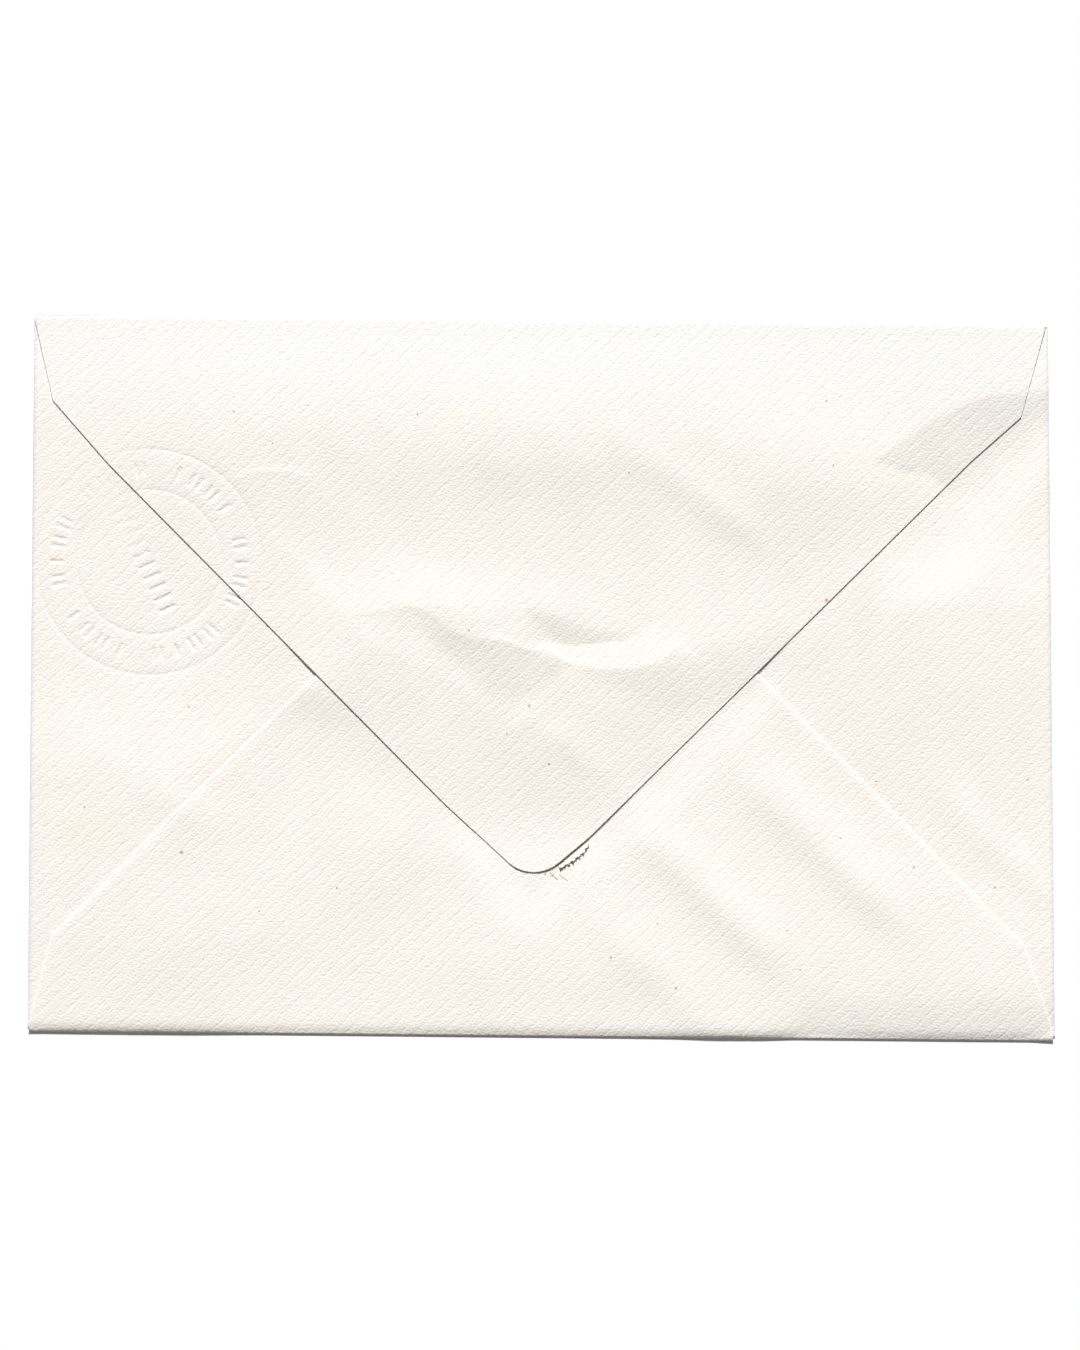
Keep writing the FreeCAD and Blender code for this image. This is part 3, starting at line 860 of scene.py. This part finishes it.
sharp = (MAIN_CREASE, FAINT_CREASE, STEP_CREASE, LEDGE_CREASE, DIMPLE_CREASE, SMALL_CREASE)
soft = (LONG_CREASE, DARK_SIDE_TOP, DARK_SIDE_FOOT, DIMPLE_TOP, DIMPLE_FOOT, SLOPE_TOP, SLOPE_FOOT)
for bends in sharp + (PRESSED_TOP, PRESSED_FOOT):
    closing_fine += crease_points(bends)
for bends in soft:
    closing_fine += crease_points(bends, SLOPE_ROWS)
closing_fold.add_tube(head_line)
print("closing flap:", closing_fold.add_flap(closing_border, closing_fine), "triangles")

# %% [markdown]
# ## Join and thicken
# Doubled points along the folds are merged, and Solidify gives the surface the paper's thickness, half
# to each side. The result is kept as a plain mesh, so that the cut edges can be marked sharp.

# %% Make the sheet
SHARP_ANGLE = math.radians(40)
JOIN_DISTANCE = 0.002


def new_object(name, mesh):
    piece = bpy.data.objects.new(name, mesh)
    bpy.context.scene.collection.objects.link(piece)
    return piece


def thicken(piece, thickness):
    solid = piece.modifiers.new("thickness", "SOLIDIFY")
    solid.thickness = thickness * MM
    solid.offset = 0.0


def build_sheet():
    mesh = bpy.data.meshes.new("sheet_middle")
    mesh.from_pydata([Vector(point) * MM for point in sheet_points], [], sheet_faces)
    stored = mesh.attributes.new("blank", "FLOAT_VECTOR", "POINT")
    stored.data.foreach_set("vector", [value for u, v in sheet_blank for value in (u, v, 0.0)])
    work = bmesh.new()
    work.from_mesh(mesh)
    bmesh.ops.remove_doubles(work, verts=work.verts, dist=JOIN_DISTANCE * MM)
    bmesh.ops.recalc_face_normals(work, faces=work.faces)
    work.to_mesh(mesh)
    work.free()
    piece = new_object("folded_sheet", mesh)
    thicken(piece, PAPER)
    depsgraph = bpy.context.evaluated_depsgraph_get()
    piece.data = bpy.data.meshes.new_from_object(piece.evaluated_get(depsgraph))
    piece.modifiers.clear()
    piece.data.shade_smooth()
    piece.data.set_sharp_from_angle(angle=SHARP_ANGLE)
    return piece


sheet = build_sheet()
sheet.data.calc_loop_triangles()
print("sheet:", len(sheet.data.loop_triangles), "triangles")

# %% [markdown]
# ## Shader maths
# A material is easier to read as a formula than as a web of nodes. Wire wraps a socket, so that plus,
# minus and times add the Math nodes, and Graph.node makes any other node in one call. A socket is given by
# its name, or by its number after an underscore.

# %% A small class for shader formulas
class Wire:
    def __init__(self, graph, socket):
        self.graph = graph
        self.socket = socket

    def __add__(self, other):
        return self.graph.maths("ADD", self, other)

    def __sub__(self, other):
        return self.graph.maths("SUBTRACT", self, other)

    def __rsub__(self, other):
        return self.graph.maths("SUBTRACT", other, self)

    def __mul__(self, other):
        return self.graph.maths("MULTIPLY", self, other)

    def __rmul__(self, other):
        return self.graph.maths("MULTIPLY", other, self)


class Graph:
    def __init__(self, tree):
        self.tree = tree
        tree.nodes.clear()

    def node(self, kind, settings=(), **values):
        """Make a node, set its settings, then fill or link its sockets."""
        made = self.tree.nodes.new(kind)
        for name, value in dict(settings).items():
            setattr(made, name, value)
        for name, value in values.items():
            self.fill(made, name, value)
        return made

    def fill(self, made, name, value):
        socket = made.inputs[int(name[1:])] if name[0] == "_" else made.inputs[name.replace("_", " ")]
        if isinstance(value, Wire):
            self.tree.links.new(value.socket, socket)
        else:
            socket.default_value = value

    def out(self, made, name=0):
        return Wire(self, made.outputs[name])

    def maths(self, operation, *values, kind="ShaderNodeMath", output=0):
        inputs = {f"_{index}": value for index, value in enumerate(values)}
        return self.out(self.node(kind, {"operation": operation}, **inputs), output)

    def vector(self, operation, *values, output=0):
        return self.maths(operation, *values, kind="ShaderNodeVectorMath", output=output)

    def mix_colour(self, factor, first, second):
        made = self.node("ShaderNodeMix", {"data_type": "RGBA"}, _0=factor, _6=first, _7=second)
        return self.out(made, 2)

    def band(self, value, low, high, start=0.0, end=1.0):
        """A smooth step of a value, from start to end as it goes from low to high."""
        made = self.node(
            "ShaderNodeMapRange",
            {"interpolation_type": "SMOOTHSTEP"},
            Value=value, From_Min=low, From_Max=high, To_Min=start, To_Max=end,
        )
        return self.out(made)

    def parts(self, vector):
        """The x, y and z of a vector."""
        made = self.node("ShaderNodeSeparateXYZ", {}, Vector=vector)
        return [self.out(made, index) for index in range(3)]

    def noise(self, vector, scale, detail=2.0, roughness=0.5):
        made = self.node(
            "ShaderNodeTexNoise", {}, Vector=vector, Scale=scale, Detail=detail, Roughness=roughness
        )
        return self.out(made)

    def place(self):
        """Where a point of the piece is on the page, in millimetres."""
        where = self.out(self.node("ShaderNodeTexCoord"), "Object")
        return self.vector("MULTIPLY", where, (1 / MM, 1 / MM, 1 / MM))

    def bump(self, height):
        """The normal that a fine relief in millimetres gives."""
        return self.out(self.node("ShaderNodeBump", {}, Strength=1.0, Distance=MM, Height=height))

    def surface(self, **values):
        """The material's shader, joined to its output."""
        shader = self.node("ShaderNodeBsdfPrincipled", {}, **values)
        self.node("ShaderNodeOutputMaterial", {}, Surface=self.out(shader))


def new_material(name):
    material = bpy.data.materials.new(name)
    material.use_nodes = True
    return material, Graph(material.node_tree)


print("shader helpers: Wire, Graph and new_material")

# %% [markdown]
# ## The paper
# White writing paper, a little warm, with fine ribs at about forty-five degrees and a felted grain across
# them. What shows of the ribs is the grooves between them, here deep and there almost gone. A picture
# could draw them, but a wave along one direction of the blank is all they are. They are far too shallow
# for the mesh, so they are bump.

# %% Ribs and grain
RIB_SPACING = 1.5
RIB_TURN = math.radians(46)
RIB_WANDER = 0.8
WANDER_SCALE = 0.35
GROOVE_DEPTH = 0.017
GROOVE_SHARPNESS = 6.0
PATCH_SCALE = 0.45
PATCH_CONTRAST = 3.4
PATCH_OFFSET = 0.8
CROSS_TURN = math.radians(-55)
CROSS_SCALES = (0.7, 2.6, 1.0)
CROSS_HEIGHT = 0.040
GRAIN_SIZE = 0.38
GRAIN_HEIGHT = 0.080
PAPER_COLOUR = (0.966, 0.922, 0.846, 1.0)
PALE_COLOUR = (0.962, 0.936, 0.882, 1.0)
DIM_COLOUR = (0.895, 0.846, 0.758, 1.0)
# The head's cooler tint is partly the paper's own and partly painted highlight, where the lamp lights it
# most.
HEAD_HIGHLIGHT_COLOUR = (0.908, 0.900, 0.860, 1.0)
ROSY_COLOUR = (0.950, 0.893, 0.832, 1.0)


def unit(turn):
    return (math.cos(turn), math.sin(turn), 0.0)


def rib_relief(graph, blank):
    """Height of the paper's own texture, in millimetres."""
    across = graph.vector("DOT_PRODUCT", blank, unit(RIB_TURN), output="Value")
    wander = graph.noise(blank, WANDER_SCALE, 1.0) * RIB_WANDER
    phase = (across + wander) * (2 * math.pi / RIB_SPACING)
    grooves = graph.maths("POWER", graph.maths("SINE", phase) * 0.5 + 0.5, GROOVE_SHARPNESS)
    strength = graph.noise(blank, PATCH_SCALE, 3.0) * PATCH_CONTRAST - PATCH_OFFSET
    turn_back = (0.0, 0.0, -CROSS_TURN)
    turned = graph.node("ShaderNodeMapping", {"vector_type": "POINT"}, Vector=blank, Rotation=turn_back)
    lined = graph.vector("MULTIPLY", graph.out(turned), CROSS_SCALES)
    cross = graph.noise(lined, 1.0, 2.0, 0.5) - 0.5
    grain = graph.noise(blank, 1 / GRAIN_SIZE, 2.0, 0.55) - 0.5
    return cross * CROSS_HEIGHT + grain * GRAIN_HEIGHT - grooves * strength * GROOVE_DEPTH


print("ribs every", RIB_SPACING, "mm, grooves up to", GROOVE_DEPTH, "mm deep")

# %% [markdown]
# The sheet also carries specks, hairs, a yellowed stain, a grey patch by the pressed corner and a thin
# brown line beside the tip. Each of the specks is a small disc round a point of the page, and the loudest
# one is red. The last two specks, just below the closing flap's tip, are painted shadow. The band along
# the sides is painted shade, and the head's cooler tint is partly its own and partly painted highlight.

# %% Specks and stains
# The last two specks are painted shadow just below the closing flap's tip.
SPECKS_AND_TIP_SHADOWS = (
    (-2.4, -4.6, 0.34), (0.8, -13.8, 0.30), (-57.4, -28.4, 0.42), (-12.1, 7.3, 0.22), (-5.9, -9.0, 0.22),
    (-56.5, -5.2, 0.26), (-72.9, -21.3, 0.24), (-32.7, -33.8, 0.26), (-45.0, -37.6, 0.24),
    (18.3, -39.0, 0.24), (10.9, -44.4, 0.28), (21.3, -49.2, 0.30), (41.0, -46.1, 0.24),
    (58.9, -29.6, 0.26), (38.9, -39.9, 0.24), (47.2, -25.1, 0.22), (52.8, -16.0, 0.22),
    (71.8, -32.7, 0.26), (76.9, -15.6, 0.24), (44.3, 44.3, 0.26), (45.5, 34.1, 0.20), (13.1, 32.6, 0.22),
    (-20.6, 41.6, 0.26), (-49.8, 41.7, 0.24), (-43.6, 36.7, 0.20), (42.2, 10.6, 0.20), (5.4, 23.8, 0.18),
    (79.0, 56.3, 0.30), (0.4, -31.3, 0.26), (1.6, -31.5, 0.30),
)
RED_SPECK = (44.6, 12.7, 0.36)
RED_COLOUR = (0.62, 0.16, 0.12, 1.0)
SPECK_AND_SHADOW_COLOUR = (0.33, 0.30, 0.24, 1.0)
HAIRS = (
    ((1.2, -31.1), (2.3, -32.1), 0.16),
    ((2.7, -31.5), (4.0, -32.3), 0.12),
    ((-81.4, 56.75), (-60, 56.85), 0.10),
)
# A thin olive-brown line just outside the closing flap's edge near its tip.
TIP_EDGE_LINE = ((2.5, -29.75), (7.1, -25.85), 0.30)
TIP_EDGE_COLOUR = (0.50, 0.40, 0.22, 1.0)
YELLOWED = ((-72.7, -25.0), (6.0, 4.5))
YELLOW_COLOUR = (0.945, 0.880, 0.740, 1.0)
# A soft grey patch at the lower edge of the pressed-down corner.
PRESSED_CORNER_PATCH = ((56.9, 33.6), (2.2, 1.2))
PRESSED_CORNER_COLOUR = (0.78, 0.79, 0.82, 1.0)
# Painted shade: a grey-lilac band along both sides, where the side folds turn away from the lamp.
SIDE_FOLD_SHADE = (0.86, 0.82, 0.86, 1.0)
SIDE_FOLD_SHADE_WIDTH = 0.9
HEAD_HIGHLIGHT_ZONE = (39.0, 51.0)
SOFT_EDGE = 0.3


def spot(graph, place, x, y, radius):
    """One inside a small disc on the page, none outside."""
    gap = graph.vector("DISTANCE", place, (x, y, 0.0), output="Value")
    return graph.band(gap, radius * SOFT_EDGE, radius, 1.0, 0.0)


def oval(graph, place, centre, reach):
    """One in the middle of an oval stain, fading to none at its reach."""
    moved = graph.vector("SUBTRACT", place, (centre[0], centre[1], 0.0))
    scaled = graph.vector("MULTIPLY", moved, (1 / reach[0], 1 / reach[1], 0.0))
    return graph.band(graph.vector("LENGTH", scaled, output="Value"), 0.1, 1.0, 1.0, 0.0)


def streak(graph, place, start, end, half_width):
    """One along a thin straight line on the page, none beside it."""
    length = math.dist(start, end)
    along = ((end[0] - start[0]) / length, (end[1] - start[1]) / length, 0.0)
    moved = graph.vector("SUBTRACT", place, (start[0], start[1], 0.0))
    reached = graph.vector("DOT_PRODUCT", moved, along, output="Value")
    reached = graph.maths("MAXIMUM", graph.maths("MINIMUM", reached, length), 0.0)
    foot = graph.node("ShaderNodeVectorMath", {"operation": "SCALE"}, _0=along, Scale=reached)
    gap = graph.vector("DISTANCE", moved, graph.out(foot), output="Value")
    return graph.band(gap, half_width * SOFT_EDGE, half_width, 1.0, 0.0)


def most(graph, masks):
    """The strongest of some masks at each place."""
    whole = masks[0]
    for mask in masks[1:]:
        whole = graph.maths("MAXIMUM", whole, mask)
    return whole


print("specks:", len(SPECKS_AND_TIP_SHADOWS), "and hairs:", len(HAIRS))

# %% [markdown]
# The colours are laid over each other, the broadest first: clouds, a rosy tinge, flecks, a head whose
# cooler tint is partly its own and partly painted highlight, painted shade along the side folds, then
# stains, a grey patch, a thin brown line beside the tip, and specks and hairs with painted shadow under the
# tip.

# %% Paper material
def paper_colour(graph, blank, place):
    """The paper's tint, from its own cloudiness to its stains, with painted highlight and shade added."""
    x, y, _ = graph.parts(place)
    from_side = graph.maths("MINIMUM", x - LEFT, right_outline(0) - math.tan(LEAN) * y - x)
    dirt_and_tip_shadow = [spot(graph, place, *dot) for dot in SPECKS_AND_TIP_SHADOWS]
    dirt_and_tip_shadow += [streak(graph, place, *hair) for hair in HAIRS]
    layers = (
        (graph.band(graph.noise(blank, 0.045, 3.0, 0.55), 0.35, 0.68) * 0.30, PALE_COLOUR),
        (graph.band(graph.noise(blank, 0.16, 2.0, 0.5), 0.42, 0.62) * 0.7, ROSY_COLOUR),
        (graph.band(graph.noise(blank, 1.3, 3.0, 0.6), 0.5, 0.74) * 0.28, DIM_COLOUR),
        # A cooler tint towards the head, partly the paper's own and partly painted highlight.
        (graph.band(y, *HEAD_HIGHLIGHT_ZONE), HEAD_HIGHLIGHT_COLOUR),
        # Painted shade along the side folds.
        (graph.band(from_side, 0.1, SIDE_FOLD_SHADE_WIDTH, 0.8, 0.0), SIDE_FOLD_SHADE),
        (oval(graph, place, *YELLOWED) * 0.45, YELLOW_COLOUR),
        # The grey patch by the pressed corner.
        (oval(graph, place, *PRESSED_CORNER_PATCH) * 0.4, PRESSED_CORNER_COLOUR),
        # The thin olive-brown line beside the tip.
        (streak(graph, place, *TIP_EDGE_LINE) * 0.75, TIP_EDGE_COLOUR),
        # Specks and hairs, and painted shadow just below the closing flap's tip.
        (most(graph, dirt_and_tip_shadow) * 0.75, SPECK_AND_SHADOW_COLOUR),
        (spot(graph, place, *RED_SPECK) * 0.8, RED_COLOUR),
    )
    colour = PAPER_COLOUR
    for mask, tint in layers:
        colour = graph.mix_colour(mask, colour, tint)
    return colour


def paper_material():
    material, graph = new_material("ribbed_paper")
    blank = graph.out(graph.node("ShaderNodeAttribute", {"attribute_name": "blank"}), "Vector")
    flat_place = graph.vector("MULTIPLY", graph.place(), (1.0, 1.0, 0.0))
    graph.surface(
        Base_Color=paper_colour(graph, blank, flat_place),
        Roughness=graph.noise(blank, 1.5, 2.0) * 0.12 + 0.78,
        Normal=graph.bump(rib_relief(graph, blank)),
        Specular_IOR_Level=0.25,
    )
    return material


paper = paper_material()
sheet.data.materials.append(paper)
print("paper nodes:", len(paper.node_tree.nodes))

# %% [markdown]
# ## Torn fibres at the tip
# Beside the closing flap's tip a narrow strip of paper skin has been torn loose. It is modelled as a strip
# of its own, because it stands up from the bottom flap with a ragged outer edge.

# %% Torn fibres
TORN_START, TORN_END = (2.5, -30.0), (7.1, -26.1)
TORN_WIDTHS = (0.30, 0.55, 0.45, 0.75, 0.60, 0.90, 0.66, 0.92, 0.72, 0.85, 0.55, 0.60, 0.30)
TORN_ROWS = 5
TORN_RAGGED = 0.22
TORN_THICKNESS = 0.07
TORN_LIFT = 0.05
TORN_CURL = 0.32
TORN_PALE = (0.97, 0.96, 0.93, 1.0)
TORN_DARK = (0.62, 0.54, 0.42, 1.0)


def torn_fibres():
    length = math.dist(TORN_START, TORN_END)
    along = Vector(((TORN_END[0] - TORN_START[0]) / length, (TORN_END[1] - TORN_START[1]) / length))
    out = Vector((along.y, -along.x))
    points = []
    stations = 4 * (len(TORN_WIDTHS) - 1) + 1
    for index in range(stations):
        share = index / (stations - 1)
        width = float(np.interp(share, np.linspace(0, 1, len(TORN_WIDTHS)), TORN_WIDTHS))
        width *= 1 + TORN_RAGGED * math.sin(index * 2.4)
        for row in range(TORN_ROWS):
            across = row / (TORN_ROWS - 1)
            x, y = Vector(TORN_START) + along * (share * length) + out * (across * width)
            top = float(bottom_fold.height(np.float64(x), np.float64(y))) + PAPER / 2
            curl = TORN_CURL * across ** 2 * (1 + 0.4 * math.sin(index * 1.1))
            points.append(Vector((x, y, top + TORN_LIFT + curl)) * MM)
    mesh = bpy.data.meshes.new("torn_fibres")
    mesh.from_pydata(points, [], grid_faces(stations, TORN_ROWS))
    piece = new_object("torn_fibres", mesh)
    thicken(piece, TORN_THICKNESS)
    return piece


def torn_material():
    material, graph = new_material("torn_paper")
    fuzz = graph.noise(graph.place(), 3.5, 3.0, 0.6)
    colour = graph.mix_colour(graph.band(fuzz, 0.60, 0.72), TORN_PALE, TORN_DARK)
    normal = graph.bump(fuzz * 0.12)
    graph.surface(Base_Color=colour, Roughness=0.9, Normal=normal, Specular_IOR_Level=0.2)
    return material


fibres = torn_fibres()
fibres.data.materials.append(torn_material())
print("torn fibres:", len(fibres.data.polygons), "faces")

# %% [markdown]
# ## Riding on the frame
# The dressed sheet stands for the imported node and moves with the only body, and so do the fibres on it.

# %% Hand the pieces to the frame
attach(sheet, "root")
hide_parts("envelope")
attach(fibres, "root")
print("on the root body:", sheet.name, "and", fibres.name)

# %% [markdown]
# ## Floor and light
# A plain white floor, one soft lamp from above the head of the page and an even white world. The lamp is
# low enough to draw the flap's edges and the seal. Floor and world look white to the camera alone, so
# that no extra light falls on the paper.

# %% Floor
FLOOR_SIZE = 6.0
FLOOR_WHITES = (0.983, 0.990)
FLOOR_GLOW = 0.02


def grey(value):
    return (value, value, value, 1.0)


def floor_material():
    material, graph = new_material("white_floor")
    seen = graph.out(graph.node("ShaderNodeLightPath"), "Is Camera Ray")
    where = graph.out(graph.node("ShaderNodeTexCoord"), "Object")
    grain = graph.band(graph.noise(where, 40.0), 0.3, 0.7)
    graph.surface(
        Base_Color=graph.mix_colour(grain, *(grey(white) for white in FLOOR_WHITES)),
        Roughness=0.9,
        Emission_Color=graph.mix_colour(seen, grey(0.0), grey(FLOOR_GLOW)),
        Emission_Strength=1.0,
        Specular_IOR_Level=0.0,
    )
    return material


reach = FLOOR_SIZE / 2
floor_mesh = bpy.data.meshes.new("floor")
floor_corners = [(-reach, -reach, 0), (reach, -reach, 0), (reach, reach, 0), (-reach, reach, 0)]
floor_mesh.from_pydata(floor_corners, [], [(0, 1, 2, 3)])
floor_mesh.materials.append(floor_material())
floor = new_object("floor", floor_mesh)
print("floor:", FLOOR_SIZE, "m each way")

# %% [markdown]
# The lamp is a sun, whose light falls on all of the page at one angle. The world fills the shadows.

# %% Lamp and world
LAMP_HEIGHT_ANGLE = math.radians(32.4)
LAMP_SHARE = 0.88
LAMP_SPREAD = math.radians(8)
lamp_data = bpy.data.lights.new("lamp", "SUN")
lamp_data.energy = math.pi * LAMP_SHARE / math.sin(LAMP_HEIGHT_ANGLE)
lamp_data.angle = LAMP_SPREAD
lamp = new_object("lamp", lamp_data)
lamp.rotation_euler = (-(math.pi / 2 - LAMP_HEIGHT_ANGLE), 0, 0)

world = bpy.data.worlds.new("studio")
bpy.context.scene.world = world
world.use_nodes = True
sky = Graph(world.node_tree)
path = sky.node("ShaderNodeLightPath")
seen_directly = sky.maths("MAXIMUM", sky.out(path, "Is Camera Ray"), sky.out(path, "Is Glossy Ray"))
seen_directly = sky.maths("MAXIMUM", seen_directly, sky.out(path, "Is Transmission Ray"))
fill = 1 - LAMP_SHARE
glow = sky.mix_colour(seen_directly, grey(fill), grey(1.0))
background = sky.node("ShaderNodeBackground", {}, Color=glow, Strength=1.0)
sky.node("ShaderNodeOutputWorld", {}, Surface=sky.out(background))
print("lamp share", LAMP_SHARE, "and fill", round(fill, 2))

# %% [markdown]
# ## Camera
# The photograph looks straight down and is turned by about half a degree. A long lens keeps the edges
# square.

# %% Camera
LENS = 200
SENSOR = 36
VIEW_HEIGHT = 214.31
VIEW_MIDDLE = (-0.75, 0.35)
VIEW_TURN = math.radians(0.55)
camera_data = bpy.data.cameras.new("camera")
camera_data.lens = LENS
camera_data.sensor_width = SENSOR
camera = new_object("camera", camera_data)
camera_height = VIEW_HEIGHT * MM * LENS / SENSOR
camera.location = (VIEW_MIDDLE[0] * MM, VIEW_MIDDLE[1] * MM, camera_height + CLOSING_MIDDLE * MM)
camera.rotation_euler = (0, 0, VIEW_TURN)
bpy.context.scene.camera = camera
bpy.context.scene.view_settings.view_transform = "Standard"
print("camera height, m:", round(camera_height, 2))
